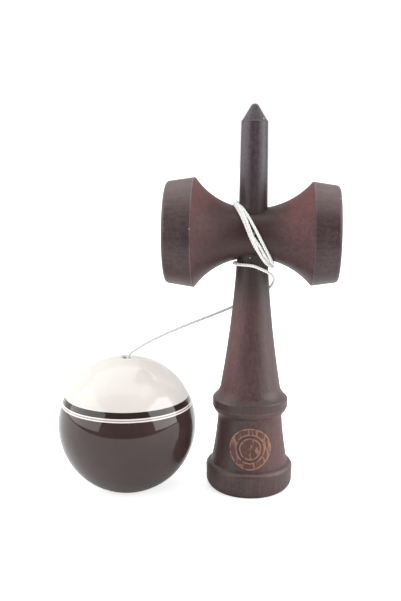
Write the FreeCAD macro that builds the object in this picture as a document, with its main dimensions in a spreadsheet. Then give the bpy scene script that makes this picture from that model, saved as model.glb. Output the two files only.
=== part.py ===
"""Wooden kendama: a turned handle with a spike, a double cup pushed down over it, and a drilled ball.

The ball hangs on one long cord. The cord is knotted in the handle, leaves through a hole in the double
cup, is wound round the crossing and once round the handle, and runs over to the ball, where a bead and
a knot hold it. The ball stands on the rim of its drilled hole, beside the handle.

Frame: +Z up, X along the double cup with the big cup at -X, origin on the floor under the handle.
All sizes are in millimetres.
"""
import FreeCAD, Part
import math
import os

import Sketcher
from FreeCAD import Vector

# Driving dimensions: name, size, what it is.
SIZES = (
    ("ken_height", 165.0, "floor to the tip of the spike"),
    ("base_rim_radius", 16.2, "outer edge of the flat ring that the handle stands on"),
    ("base_round_radius", 5.2, "rounding between the standing ring and the foot band"),
    ("foot_round_height", 5.2, "where that rounding ends"),
    ("foot_band_radius", 18.75, "foot band at its lower edge"),
    ("foot_band_swell", 0.15, "how far the band widens towards its upper edge"),
    ("foot_band_height", 9.3, "upper edge of the foot band"),
    ("foot_edge_radius", 2.2, "rounding over the band's upper edge"),
    ("foot_ledge_radius", 18.0, "outer edge of the ledge on top of the foot band"),
    ("foot_ledge_height", 11.3, "height of that edge"),
    ("flare_foot_radius", 16.65, "handle where it leaves the ledge"),
    ("flare_foot_height", 11.9, "height of that corner"),
    ("flare_radius", 150.0, "hollow curve between the foot and the collar"),
    ("waist_radius", 13.9, "narrowest place under the collar"),
    ("waist_height", 32.2, "height of that place"),
    ("collar_cove_radius", 4.0, "hollow under the collar"),
    ("collar_lip_radius", 15.4, "lower lip of the collar"),
    ("collar_lip_height", 35.1, "height of the lower lip"),
    ("collar_radius", 16.25, "collar at its widest"),
    ("collar_low_height", 36.9, "where the collar reaches its widest"),
    ("collar_high_height", 40.3, "upper end of the collar's widest band"),
    ("collar_top_radius", 15.8, "top corner of the collar"),
    ("collar_top_height", 40.9, "height of the top corner"),
    ("cove_radius", 8.0, "hollow curve above the collar"),
    ("body_foot_radius", 12.75, "handle's body above the collar"),
    ("body_foot_height", 46.6, "height where the body starts"),
    ("body_curve_radius", 480.0, "long hollow curve of the body"),
    ("seat_low_radius", 6.6, "lower end of the taper that carries the double cup"),
    ("seat_low_height", 100.5, "height of that end"),
    ("seat_high_radius", 5.97, "upper end of the taper"),
    ("seat_high_height", 124.0, "height of that end"),
    ("spike_radius", 5.5, "spike under its point"),
    ("spike_shoulder_height", 158.0, "where the point starts"),
    ("shoulder_edge", 0.5, "bevel on the shoulder of the point"),
    ("tip_radius", 1.7, "blunt end of the point"),
    ("tip_height", 1.1, "height of the rounded end of the point"),
    ("base_cup_radius", 14.7, "mouth of the cup in the handle's foot"),
    ("base_cup_depth", 7.5, "depth of that cup"),
    ("ken_hole_radius", 1.2, "cord hole across the handle"),
    ("knot_pocket_radius", 2.3, "pocket for the knot, at the back of that hole"),
    ("knot_pocket_floor", 2.4, "depth left between the axis and the pocket"),
    ("sarado_height", 111.8, "axis of the double cup above the floor"),
    ("saddle_waist_radius", 10.4, "double cup at its middle"),
    ("big_saddle_radius", 29.7, "hollow curve on the big cup's side"),
    ("big_saddle_reach", 24.1, "where that curve ends"),
    ("big_ridge_reach", 24.9, "ridge of the big cup"),
    ("big_ridge_radius", 23.15, "radius of the ridge"),
    ("big_rim_reach", 35.1, "where the big cup's rim starts to round"),
    ("big_rim_radius", 21.6, "radius there"),
    ("big_lip_reach", 36.6, "face of the big cup's lip"),
    ("big_lip_radius", 20.2, "outer edge of that face"),
    ("big_cup_radius", 18.8, "mouth of the big cup"),
    ("big_cup_depth", 11.5, "depth of the big cup"),
    ("small_saddle_radius", 32.4, "hollow curve on the small cup's side"),
    ("small_saddle_reach", 24.35, "where that curve ends"),
    ("small_ridge_reach", 25.15, "ridge of the small cup"),
    ("small_ridge_radius", 21.7, "radius of the ridge"),
    ("small_rim_reach", 34.35, "where the small cup's rim starts to round"),
    ("small_rim_radius", 20.35, "radius there"),
    ("small_lip_reach", 35.75, "face of the small cup's lip"),
    ("small_lip_radius", 19.1, "outer edge of that face"),
    ("small_cup_radius", 18.1, "mouth of the small cup"),
    ("small_cup_depth", 10.5, "depth of the small cup"),
    ("ridge_edge_radius", 0.9, "rounding over the ridges"),
    ("lip_round_radius", 1.7, "rounding of the lips"),
    ("seat_clearance", 0.2, "play between the double cup and the taper"),
    ("sarado_hole_radius", 1.5, "cord hole in the front of the double cup"),
    ("tama_radius", 30.0, "ball"),
    ("tama_mouth_radius", 11.0, "outer edge of the bevel, which the ball stands on"),
    ("tama_bevel_height", 2.7, "height of the bevel"),
    ("tama_bore_radius", 8.3, "bore that takes the spike"),
    ("tama_bore_depth", 30.5, "floor to the end of the bore"),
    ("tama_chamber_radius", 5.8, "chamber for the bead, above the bore"),
    ("tama_roof", 7.91, "wood left between the chamber and the top of the ball"),
    ("tama_hole_radius", 1.5, "cord hole at the top of the ball"),
    ("tama_flare_depth", 1.4, "countersink of the cord hole"),
    ("tama_reach_x", 53.46, "ball's axis left of the handle's"),
    ("tama_reach_y", 3.94, "ball's axis in front of the handle's"),
    ("bead_radius", 4.5, "wooden bead inside the ball"),
    ("bead_hole_radius", 1.1, "hole through the bead"),
    ("bead_travel", 6.0, "how far the bead rises before it meets the chamber's end"),
    ("bead_clearance", 0.3, "gap left when the bead is up"),
    ("knot_radius", 1.9, "pulled-down knots at both ends of the cord"),
    ("knot_clearance", 0.05, "gap between a knot and what it bears on"),
    ("cord_radius", 0.75, "twisted cord"),
    ("cord_standoff", 0.3, "gap between the cord and the wood it is pulled against"),
    ("lay_pitch", 2.1, "distance between turns that lie side by side"),
    ("layer_pitch", 2.0, "distance between a turn and one that lies on top"),
    ("cord_bend_radius", 1.7, "bend where the cord leaves the double cup"),
    ("cord_tail", 1.5, "straight ends of the wound cord"),
    ("cord_joint_gap", 0.05, "gap between the end of the winding and the rounded start of the free stretch"),
    ("free_start_drop", 29.8, "where the cord leaves the handle, below the double cup's axis"),
    ("free_end_depth", 3.91, "where the cord's free stretch ends, below the top of the ball"),
    ("cut_overrun", 1.0, "how far a cutting shape runs past what it cuts"),
)

doc = FreeCAD.newDocument("kendama")


class Size:
    """A number of the sheet, or a sum of such numbers, that keeps the expression it comes from."""

    def __init__(self, value, text):
        self.value = value
        self.text = text

    def joined(self, other, sign, swapped=False):
        left, right = (as_size(other), self) if swapped else (self, as_size(other))
        a, b = left.value, right.value
        value = {"+": a + b, "-": a - b, "*": a * b}.get(sign)
        if sign == "/":
            value = a / b
        return Size(value, f"({left.text} {sign} {right.text})")

    def __add__(self, other):
        return self.joined(other, "+")

    def __radd__(self, other):
        return self.joined(other, "+", swapped=True)

    def __sub__(self, other):
        return self.joined(other, "-")

    def __rsub__(self, other):
        return self.joined(other, "-", swapped=True)

    def __mul__(self, other):
        return self.joined(other, "*")

    def __rmul__(self, other):
        return self.joined(other, "*", swapped=True)

    def __truediv__(self, other):
        return self.joined(other, "/")

    def __neg__(self):
        return Size(-self.value, f"(0 - {self.text})")


def as_size(number):
    return number if isinstance(number, Size) else Size(float(number), repr(float(number)))


def root(size):
    return Size(math.sqrt(size.value), f"sqrt({size.text})")


def fill_sheet():
    """Put every driving dimension on the sheet, with its name and its note, and return the sizes by name."""
    sheet = doc.addObject("Spreadsheet::Sheet", "Sizes")
    for row, (name, value, note) in enumerate(SIZES, start=1):
        sheet.set(f"A{row}", name)
        sheet.set(f"B{row}", str(value))
        sheet.set(f"C{row}", note)
        sheet.setAlias(f"B{row}", name)
    doc.recompute()
    return {name: Size(float(sheet.get(name)), f"Sizes.{name}") for name, _, _ in SIZES}


S = fill_sheet()


def sphere_cap_radius(mouth, depth):
    """Radius of the sphere that cuts a dish of that mouth radius and depth."""
    return (mouth * mouth + depth * depth) / (2 * depth)


def origin_plane(body, role):
    return next(f for f in body.Origin.OriginFeatures if f.Role == role)


def arc_centre(start, end, radius, side):
    """Centre of the smaller arc from start to end, on the left or the right of that way."""
    dx, dy = end[0] - start[0], end[1] - start[1]
    length = math.hypot(dx, dy)
    reach = math.sqrt(radius * radius - length * length / 4)
    if side == "right":
        reach = -reach
    return ((start[0] + end[0]) / 2 - dy / length * reach, (start[1] + end[1]) / 2 + dx / length * reach)


def draw_outline(sketch, corners):
    """Draw a closed outline of lines and arcs, with every corner and radius bound to the sheet.

    Each corner is (x, y) for a straight edge to the next one, or (x, y, radius, side) for an arc.
    """
    places = [(as_size(c[0]), as_size(c[1])) for c in corners]
    ends = []
    for index, corner in enumerate(corners):
        start = tuple(v.value for v in places[index])
        end = tuple(v.value for v in places[(index + 1) % len(corners)])
        if len(corner) == 2:
            line = Part.LineSegment(Vector(*start, 0), Vector(*end, 0))
            sketch.addGeometry(line, False)
            ends.append((1, 2))
            continue
        radius, side = corner[2], corner[3]
        cx, cy = arc_centre(start, end, radius.value, side)
        first, last = (start, end) if side == "left" else (end, start)
        angles = [math.atan2(p[1] - cy, p[0] - cx) for p in (first, last)]
        circle = Part.Circle(Vector(cx, cy, 0), Vector(0, 0, 1), radius.value)
        sketch.addGeometry(Part.ArcOfCircle(circle, *angles), False)
        ends.append((1, 2) if side == "left" else (2, 1))
        number = sketch.addConstraint(Sketcher.Constraint("Radius", index, radius.value))
        sketch.setExpression(f"Constraints[{number}]", radius.text)
    for index in range(len(corners)):
        after = (index + 1) % len(corners)
        sketch.addConstraint(Sketcher.Constraint("Coincident", index, ends[index][1], after, ends[after][0]))
    for index, (x, y) in enumerate(places):
        for kind, size, axis in (("DistanceX", x, -2), ("DistanceY", y, -1)):
            if size.value == 0:
                sketch.addConstraint(Sketcher.Constraint("PointOnObject", index, ends[index][0], axis))
                continue
            rule = Sketcher.Constraint(kind, index, ends[index][0], size.value)
            number = sketch.addConstraint(rule)
            sketch.setExpression(f"Constraints[{number}]", size.text)


def add_sketch(body, name, corners=(), role="XZ_Plane"):
    sketch = body.newObject("Sketcher::SketchObject", name)
    sketch.AttachmentSupport = [(origin_plane(body, role), "")]
    sketch.MapMode = "FlatFace"
    if corners:
        draw_outline(sketch, corners)
    return sketch


def add_turning(body, kind, sketch, axis):
    """Revolve a sketch about its own vertical or horizontal axis, to add wood or to turn it away."""
    feature = body.newObject(kind, sketch.Name + "_turned")
    feature.Profile = sketch
    feature.ReferenceAxis = (sketch, [axis])
    feature.Angle = 360.0
    return feature


def add_bore(body, name, radius, length, backwards):
    """Drill a round hole from the middle plane to the front (-Y) or the back (+Y)."""
    sketch = add_sketch(body, name)
    sketch.addGeometry(Part.Circle(Vector(0, 0, 0), Vector(0, 0, 1), radius.value), False)
    sketch.addConstraint(Sketcher.Constraint("Coincident", 0, 3, -1, 1))
    number = sketch.addConstraint(Sketcher.Constraint("Radius", 0, radius.value))
    sketch.setExpression(f"Constraints[{number}]", radius.text)
    pocket = body.newObject("PartDesign::Pocket", name + "_drilled")
    pocket.Profile = sketch
    pocket.Type = "Length"
    pocket.Length = length.value
    pocket.setExpression("Length", length.text)
    pocket.Reversed = not backwards
    return pocket, sketch


def place(piece, x, y, z):
    """Put a piece at a place given by sizes, and bind it there."""
    for axis, size in zip("xyz", (as_size(x), as_size(y), as_size(z))):
        piece.setExpression(f"Placement.Base.{axis}", size.text)


def check_cut(body, feature):
    """Recompute, and make sure that a cut took wood away."""
    doc.recompute()
    if feature.Shape.Volume >= feature.BaseFeature.Shape.Volume:
        raise RuntimeError(f"{feature.Name} in {body.Label} cut nothing")


def new_body(name):
    body = doc.addObject("PartDesign::Body", name)
    body.Label = name
    return body


def dish(face, mouth, depth, sign):
    """Outline of a cup's hollow, about the axis, cut from a face at that reach on the side of sign."""
    outside = sign * (face + S["cut_overrun"])
    floor = sign * (face - depth)
    side = "right" if sign < 0 else "left"
    return (
        (outside, 0),
        (outside, mouth),
        (sign * face, mouth, sphere_cap_radius(mouth, depth), side),
        (floor, 0),
    )


def make_ken():
    """Handle: one turned piece from the foot cup to the spike, drilled across for the cord."""
    body = new_body("ken")
    outline = add_sketch(body, "ken_outline", (
        (0, 0),
        (S["base_rim_radius"], 0, S["base_round_radius"], "left"),
        (S["foot_band_radius"], S["foot_round_height"]),
        (S["foot_band_radius"] + S["foot_band_swell"], S["foot_band_height"], S["foot_edge_radius"], "left"),
        (S["foot_ledge_radius"], S["foot_ledge_height"]),
        (S["flare_foot_radius"], S["flare_foot_height"], S["flare_radius"], "right"),
        (S["waist_radius"], S["waist_height"], S["collar_cove_radius"], "right"),
        (S["collar_lip_radius"], S["collar_lip_height"]),
        (S["collar_radius"], S["collar_low_height"]),
        (S["collar_radius"], S["collar_high_height"]),
        (S["collar_top_radius"], S["collar_top_height"], S["cove_radius"], "right"),
        (S["body_foot_radius"], S["body_foot_height"], S["body_curve_radius"], "right"),
        (S["seat_low_radius"], S["seat_low_height"]),
        (S["seat_high_radius"], S["seat_high_height"]),
        (S["spike_radius"], S["spike_shoulder_height"]),
        (S["spike_radius"] - S["shoulder_edge"], S["spike_shoulder_height"] + S["shoulder_edge"]),
        (S["tip_radius"], S["ken_height"] - S["tip_height"],
         sphere_cap_radius(S["tip_radius"], S["tip_height"]), "left"),
        (0, S["ken_height"]),
    ))
    add_turning(body, "PartDesign::Revolution", outline, "V_Axis")
    doc.recompute()
    foot = add_sketch(body, "foot_cup", (
        (0, -S["cut_overrun"]),
        (S["base_cup_radius"], -S["cut_overrun"]),
        (S["base_cup_radius"], 0, sphere_cap_radius(S["base_cup_radius"], S["base_cup_depth"]), "left"),
        (0, S["base_cup_depth"]),
    ))
    check_cut(body, add_turning(body, "PartDesign::Groove", foot, "V_Axis"))
    reach = S["seat_low_radius"] + S["cut_overrun"]
    for name, radius, start, backwards in (
        ("cord_hole_front", S["ken_hole_radius"], as_size(0), False),
        ("cord_hole_back", S["ken_hole_radius"], as_size(0), True),
        ("knot_pocket", S["knot_pocket_radius"], S["knot_pocket_floor"], True),
    ):
        hole, sketch = add_bore(body, name, radius, reach, backwards)
        sketch.AttachmentOffset = FreeCAD.Placement(
            Vector(0, S["sarado_height"].value, -start.value), FreeCAD.Rotation())
        sketch.setExpression("AttachmentOffset.Base.y", S["sarado_height"].text)
        sketch.setExpression("AttachmentOffset.Base.z", (-start).text)
        check_cut(body, hole)
    return body


def taper_radius(height):
    """Radius of the handle's taper at a height between its two ends."""
    fall = (S["seat_low_radius"] - S["seat_high_radius"]) / (S["seat_high_height"] - S["seat_low_height"])
    return S["seat_low_radius"] - fall * (height - S["seat_low_height"])


def saddle_radius(curve, reach):
    """Radius of the double cup at a distance from its middle, on a saddle of that curve."""
    return S["saddle_waist_radius"] + curve - root(curve * curve - reach * reach)


def make_sarado():
    """Double cup: turned about X, with a big and a small dish, then bored for the handle and the cord."""
    body = new_body("sarado")
    outline = add_sketch(body, "sarado_outline", (
        (-S["big_lip_reach"], 0),
        (-S["big_lip_reach"], S["big_lip_radius"], S["lip_round_radius"], "right"),
        (-S["big_rim_reach"], S["big_rim_radius"]),
        (-S["big_ridge_reach"], S["big_ridge_radius"], S["ridge_edge_radius"], "right"),
        (-S["big_saddle_reach"], saddle_radius(S["big_saddle_radius"], S["big_saddle_reach"]),
         S["big_saddle_radius"], "left"),
        (0, S["saddle_waist_radius"], S["small_saddle_radius"], "left"),
        (S["small_saddle_reach"], saddle_radius(S["small_saddle_radius"], S["small_saddle_reach"]),
         S["ridge_edge_radius"], "right"),
        (S["small_ridge_reach"], S["small_ridge_radius"]),
        (S["small_rim_reach"], S["small_rim_radius"], S["lip_round_radius"], "right"),
        (S["small_lip_reach"], S["small_lip_radius"]),
        (S["small_lip_reach"], 0),
    ))
    add_turning(body, "PartDesign::Revolution", outline, "H_Axis")
    doc.recompute()
    big = add_sketch(body, "big_dish", dish(S["big_lip_reach"], S["big_cup_radius"], S["big_cup_depth"], -1))
    check_cut(body, add_turning(body, "PartDesign::Groove", big, "H_Axis"))
    small = add_sketch(body, "small_dish",
                       dish(S["small_lip_reach"], S["small_cup_radius"], S["small_cup_depth"], 1))
    check_cut(body, add_turning(body, "PartDesign::Groove", small, "H_Axis"))
    reach = saddle_radius(S["big_saddle_radius"], S["seat_low_radius"]) + S["cut_overrun"]
    low = taper_radius(S["sarado_height"] - reach) + S["seat_clearance"]
    high = taper_radius(S["sarado_height"] + reach) + S["seat_clearance"]
    bore = add_sketch(body, "taper_bore", ((0, -reach), (low, -reach), (high, reach), (0, reach)))
    check_cut(body, add_turning(body, "PartDesign::Groove", bore, "V_Axis"))
    length = S["saddle_waist_radius"] + S["cut_overrun"]
    hole, _ = add_bore(body, "front_cord_hole", S["sarado_hole_radius"], length, False)
    check_cut(body, hole)
    place(body, 0, 0, S["sarado_height"])
    return body


def tama_centre_height():
    """The ball stands on the edge of its bevel, which lies that far below its centre."""
    return root(S["tama_radius"] * S["tama_radius"] - S["tama_mouth_radius"] * S["tama_mouth_radius"])


def tama_top():
    return tama_centre_height() + S["tama_radius"]


def chamber_end():
    """Height above the floor at which the bead's chamber ends, below the top of the ball."""
    return tama_top() - S["tama_roof"]


def make_tama():
    """Ball: turned round, bored for the spike from below, with a bead chamber and a cord hole above."""
    body = new_body("tama")
    ball = S["tama_radius"]
    outline = add_sketch(body, "tama_outline", (
        (0, -ball, ball, "left"),
        (ball, 0, ball, "left"),
        (0, ball),
    ))
    add_turning(body, "PartDesign::Revolution", outline, "V_Axis")
    doc.recompute()
    stand = tama_centre_height()
    under = ball + S["cut_overrun"]
    slope = (S["tama_mouth_radius"] - S["tama_bore_radius"]) / S["tama_bevel_height"]
    flare_start = ball - S["tama_flare_depth"]
    bore = add_sketch(body, "tama_bore", (
        (0, -under),
        (S["tama_mouth_radius"] + (under - stand) * slope, -under),
        (S["tama_bore_radius"], S["tama_bevel_height"] - stand),
        (S["tama_bore_radius"], S["tama_bore_depth"] - stand),
        (S["tama_chamber_radius"], S["tama_bore_depth"] - stand),
        (S["tama_chamber_radius"], ball - S["tama_roof"]),
        (S["tama_hole_radius"], ball - S["tama_roof"]),
        (S["tama_hole_radius"], flare_start),
        (S["tama_hole_radius"] + under - flare_start, under),
        (0, under),
    ))
    check_cut(body, add_turning(body, "PartDesign::Groove", bore, "V_Axis"))
    place(body, -S["tama_reach_x"], -S["tama_reach_y"], stand)
    return body


def bead_half_height():
    return root(S["bead_radius"] * S["bead_radius"] - S["bead_hole_radius"] * S["bead_hole_radius"])


def bead_height():
    """Height of the bead's centre while it hangs: its travel below the chamber's end."""
    return chamber_end() - S["bead_clearance"] - S["bead_travel"] - bead_half_height()


def knot_drop(hole_radius):
    """How far a round knot's centre lies behind the hole that it is pulled against."""
    return root(S["knot_radius"] * S["knot_radius"] - hole_radius * hole_radius) + S["knot_clearance"]


def make_bead():
    """Bead: a turned wooden ball with a hole through it, which stops the cord inside the ball."""
    body = new_body("stopper_bead")
    half = bead_half_height()
    outline = add_sketch(body, "bead_outline", (
        (S["bead_hole_radius"], -half, S["bead_radius"], "left"),
        (S["bead_hole_radius"], half),
    ))
    add_turning(body, "PartDesign::Revolution", outline, "V_Axis")
    place(body, -S["tama_reach_x"], -S["tama_reach_y"], bead_height())
    return body


def make_knot(name, x, y, z):
    """Knot: a pulled-down overhand knot, as the round lump that it is once it is tight."""
    knot = doc.addObject("Part::Sphere", name)
    knot.Label = name
    knot.setExpression("Radius", S["knot_radius"].text)
    place(knot, x, y, z)
    return knot


def make_straight_cord(name, length, x, y, z, tilt=0.0):
    """Straight piece of cord, standing, or laid towards -Y by a tilt of a quarter turn."""
    cord = doc.addObject("Part::Cylinder", name)
    cord.Label = name
    cord.setExpression("Radius", S["cord_radius"].text)
    cord.setExpression("Height", length.text)
    cord.Placement = FreeCAD.Placement(Vector(0, 0, 0), FreeCAD.Rotation(Vector(1, 0, 0), tilt))
    place(cord, x, y, z)
    return cord


def number(name):
    return S[name].value


def body_radius(height):
    """Radius of the handle between the collar and the double cup, on its long hollow curve."""
    start = (number("body_foot_radius"), number("body_foot_height"))
    end = (number("seat_low_radius"), number("seat_low_height"))
    curve = number("body_curve_radius")
    cx, cz = arc_centre(start, end, curve, "right")
    return cx - math.sqrt(curve * curve - (height - cz) ** 2)


def arc_edge(start, direction, end):
    """Arc that leaves start in that direction and ends at end."""
    chord = end - start
    across = chord - direction * chord.dot(direction)
    if across.Length < 1e-6 * chord.Length:
        return Part.LineSegment(start, end).toShape(), None
    radius = chord.dot(chord) / (2 * across.Length)
    centre = start + across.normalize() * radius
    bulge = (start + end) * 0.5 - centre
    middle = centre + bulge.normalize() * radius
    return Part.Arc(start, middle, end).toShape(), radius


def biarc_edges(start, end):
    """Two arcs that join two (place, direction) pairs with no corner between them."""
    (p0, t0), (p1, t1) = start, end
    span, both = p1 - p0, t0 + t1
    spread = 2 * (1 - t0.dot(t1))
    along = span.dot(both)
    reach = (math.sqrt(along * along + spread * span.dot(span)) - along) / spread
    joint = (p0 + p1 + (t0 - t1) * reach) * 0.5
    first, first_radius = arc_edge(p0, t0, joint)
    last, last_radius = arc_edge(p1, t1 * -1, joint)
    return [first, last], [r for r in (first_radius, last_radius) if r]


# Turns of the winding, a quarter turn from one stop to the next: the lower right corner of the crossing,
# the back, the upper left corner and the front. A stop gives the cord's side shift, in pitches of turns
# that lie side by side, and its layer. The last stop only gives the way that the last turn goes on.
LASHING_SHARES = (
    (1.1, 0.2), (1.0, 0.2), (0.0, 0.0), (1.2, 0.3),
    (1.8, 1.3), (0.5, 1.2), (-0.4, 1.1), (-0.6, 1.3),
    (0.5, 1.2), (-0.6, 0.5), (-1.2, 0.2), (-1.1, 0.3),
    (0.0, 0.0), (-1.0, 0.0),
)

# The cord's turn round the handle under the double cup: the angle from +X, the drop below the double
# cup's axis in waist radii, and the gap to the wood in cord diameters. It loops out at the right.
NECK_TURN_SHARES = (
    (90.0, 1.298, 0.33), (180.0, 1.221, 0.43), (270.0, 1.231, 0.33), (324.0, 1.55, 0.35),
    (358.0, 1.817, 1.32), (381.0, 2.20, 0.50), (457.6, 2.865, 0.25),
)

# The free stretch, between the place where it leaves the handle and the ball's axis: how far along the
# way and how far down the fall each point of its route lies.
FREE_ROUTE_SHARES = ((0.279, 0.272), (0.576, 0.515), (0.780, 0.711), (0.892, 0.851))


def over_saddle(reach, layer):
    """Distance of the cord's middle from the double cup's axis, where it lies on a saddle."""
    curve = number("big_saddle_radius") if reach < 0 else number("small_saddle_radius")
    wood = number("saddle_waist_radius") + curve - math.sqrt(curve * curve - reach * reach)
    return wood + number("cord_radius") + number("cord_standoff") + layer * number("layer_pitch")


def crossing_corner():
    """Side reach and height of the corner where a turn passes between the handle and the double cup."""
    reach = number("seat_low_radius") + number("cord_radius") + number("cord_standoff")
    return reach, over_saddle(reach, 0)


def winding_slope():
    """Direction in which a turn crosses the front, down to the right, from corner to corner."""
    reach, rise = crossing_corner()
    return Vector(reach, 0, -rise).normalize()


def lashing_points():
    """Places of the cord's middle at each quarter turn of the winding."""
    reach, _ = crossing_corner()
    slope = winding_slope()
    side = Vector(-slope.z, 0, slope.x)
    axis, pitch = number("sarado_height"), number("lay_pitch")
    points = []
    for quarter, (lane, layer) in enumerate(LASHING_SHARES):
        sign = 1 if quarter % 4 < 2 else -1
        if quarter % 2 == 0:
            x = sign * reach + lane * pitch
            points.append(Vector(x, 0, axis - sign * over_saddle(x, layer)))
            continue
        shift = side * (lane * pitch)
        out = math.sqrt(over_saddle(shift.x, layer) ** 2 - shift.z ** 2)
        points.append(Vector(shift.x, sign * out, axis + shift.z))
    return points


def lashing_stops(start):
    """Places and directions at each stop, where a turn runs flat over the wood from the stop before."""
    points = lashing_points()
    layers = [0.0] + [layer for _, layer in LASHING_SHARES]
    stops = []
    for quarter, (before, point, after) in enumerate(zip([start] + points, points, points[1:])):
        upright = Vector(0, 0, 1) if quarter % 2 == 0 else Vector(0, 1, 0)
        outward = upright if quarter % 4 in (1, 2) else upright * -1
        onward = after - before
        climb = (layers[quarter + 2] - layers[quarter]) * number("layer_pitch")
        heading = onward - outward * onward.dot(outward) + outward * climb
        stops.append((point, heading.normalize()))
    return stops


def neck_stops(way_out):
    """Places and directions of the cord on its turn round the handle, down to where it leaves it."""
    cord = number("cord_radius")
    axis, waist = number("sarado_height"), number("saddle_waist_radius")
    rows = []
    for angle, drop, gap in NECK_TURN_SHARES:
        height = axis - drop * waist
        rows.append((math.radians(angle), body_radius(height) + cord + 2 * gap * cord, height))
    stops = []
    for index, (angle, radius, height) in enumerate(rows):
        before, after = rows[max(index - 1, 0)], rows[min(index + 1, len(rows) - 1)]
        turn = after[0] - before[0]
        outward = Vector(math.cos(angle), math.sin(angle), 0)
        onward = Vector(-math.sin(angle), math.cos(angle), 0)
        heading = onward * radius + outward * ((after[1] - before[1]) / turn)
        heading = heading + Vector(0, 0, (after[2] - before[2]) / turn)
        stops.append((outward * radius + Vector(0, 0, height), heading.normalize()))
    stops[-1] = (stops[-1][0], way_out)
    return stops


def neck_exit():
    """Where the cord leaves the handle: behind it, at the end of its turn."""
    angle, _, gap = NECK_TURN_SHARES[-1]
    height = number("sarado_height") - number("free_start_drop")
    radius = body_radius(height) + number("cord_radius") * (1 + 2 * gap)
    return Vector(radius * math.cos(math.radians(angle)), radius * math.sin(math.radians(angle)), height)


def free_route():
    """Way out of the winding, and the free stretch's route over to the ball and down into its hole.

    The free stretch starts in a rounded end, the pivot on which it swings.
    """
    leave = neck_exit()
    top = tama_top().value
    over = Vector(-number("tama_reach_x"), -number("tama_reach_y"), top + number("cord_radius"))
    points = []
    for along, down in FREE_ROUTE_SHARES:
        point = leave + (over - leave) * along
        point.z = leave.z + (over.z - leave.z) * down
        points.append(point)
    way_out = (points[0] - leave).normalize()
    pivot = leave + way_out * (number("cord_tail") + number("cord_joint_gap") + number("cord_radius"))
    print("the free stretch swings about", ", ".join(f"{v:.3f}" for v in pivot))
    print("across its plane", f"{way_out.y / math.hypot(*way_out[:2]):.4f}")
    return way_out, [pivot] + points + [over, Vector(over.x, over.y, top - number("free_end_depth"))]


def rounded_path(points, name):
    """Straight runs joined by tangent arcs, as large as the runs allow; prints the arcs' radii."""
    edges, radii, here = [], [], points[0]
    for before, corner, after in zip(points, points[1:], points[2:]):
        back, on = (before - corner), (after - corner)
        shorter = min(back.Length, on.Length)
        half_turn = (math.pi - back.getAngle(on)) / 2
        tangent = 0.45 * shorter
        radii.append(tangent / math.tan(half_turn))
        start = corner + back.normalize() * tangent
        end = corner + on.normalize() * tangent
        edges.append(Part.LineSegment(here, start).toShape())
        edges.append(arc_edge(start, back * -1, end)[0])
        here = end
    edges.append(Part.LineSegment(here, points[-1]).toShape())
    print(f"{name}: bend radii", ", ".join(f"{r:.1f}" for r in radii))
    return edges


def tube(edges, name, rounded=False):
    """Round cord swept along a smooth path, its volume compared with its section times its length."""
    path = Part.Wire(edges)
    first = edges[0]
    start, heading = first.valueAt(first.FirstParameter), first.tangentAt(first.FirstParameter)
    ring = Part.Wire(Part.makeCircle(number("cord_radius"), start, heading))
    shape = path.makePipeShell([ring], True, False)
    solid = shape if shape.ShapeType == "Solid" else shape.Solids[0]
    expected = math.pi * number("cord_radius") ** 2 * path.Length
    print(f"{name}: length {path.Length:.1f}, volume {solid.Volume:.1f} for {expected:.1f}")
    if abs(solid.Volume / expected - 1) > 0.02:
        raise RuntimeError(f"{name} has the wrong volume")
    if rounded:
        solid = solid.fuse(Part.makeSphere(number("cord_radius"), start)).removeSplitter().Solids[0]
    feature = doc.addObject("Part::Feature", name)
    feature.Shape = solid
    feature.Label = name
    feature.Placement = FreeCAD.Placement()
    return feature


def least_self_gap(edges, name):
    """Smallest gap between places of the winding that lie more than a few diameters apart along it."""
    diameter = 2 * number("cord_radius")
    path = Part.Wire(edges)
    count = int(path.Length / (diameter / 3))
    points = path.discretize(Number=count)
    skip = int(4 * diameter / (path.Length / count))
    least = min(
        (points[i] - points[j]).Length
        for i in range(0, len(points))
        for j in range(i + skip, len(points))
    )
    print(f"{name}: least gap to itself {least - diameter:.2f}")


def make_lashing(way_out):
    """Wound cord: out of the double cup's hole, three times round the crossing, once round the handle."""
    bend, axis = number("cord_bend_radius"), number("sarado_height")
    forward = Vector(0, -1, 0)
    leave = Vector(0, bend - over_saddle(0, 0), axis)
    corner = lashing_points()[0]
    onward = Vector(corner.x, 0, corner.z - axis).normalize()
    start = leave - forward * number("cord_tail")
    bent = leave + forward * bend + onward * bend
    edges = [Part.LineSegment(start, leave).toShape(), arc_edge(leave, forward, bent)[0]]
    stops = [(bent, onward)] + lashing_stops(bent) + neck_stops(way_out)
    radii = [bend]
    for here, there in zip(stops, stops[1:]):
        pair, pair_radii = biarc_edges(here, there)
        edges += pair
        radii += pair_radii
    edges.append(Part.LineSegment(stops[-1][0], stops[-1][0] + way_out * number("cord_tail")).toShape())
    print("string_lashing: smallest bend radii", ", ".join(f"{r:.2f}" for r in sorted(radii)[:3]))
    least_self_gap(edges, "string_lashing")
    return tube(edges, "string_lashing"), start


def check_document():
    """Stop on any failed object, and on any sub-part whose shape is missing or faulty."""
    for item in doc.Objects:
        if "Invalid" in item.State or "Error" in item.State:
            raise RuntimeError(f"{item.Name} failed: {item.State}")


def write_parts(pieces):
    os.makedirs("parts", exist_ok=True)
    for piece in pieces:
        shape = piece.Shape
        if shape.isNull() or not shape.isValid():
            raise RuntimeError(f"{piece.Label} has no valid shape")
        shape.exportStep(f"parts/{piece.Label}.step")
        print(f"{piece.Label}: volume {shape.Volume:.1f}")


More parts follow.
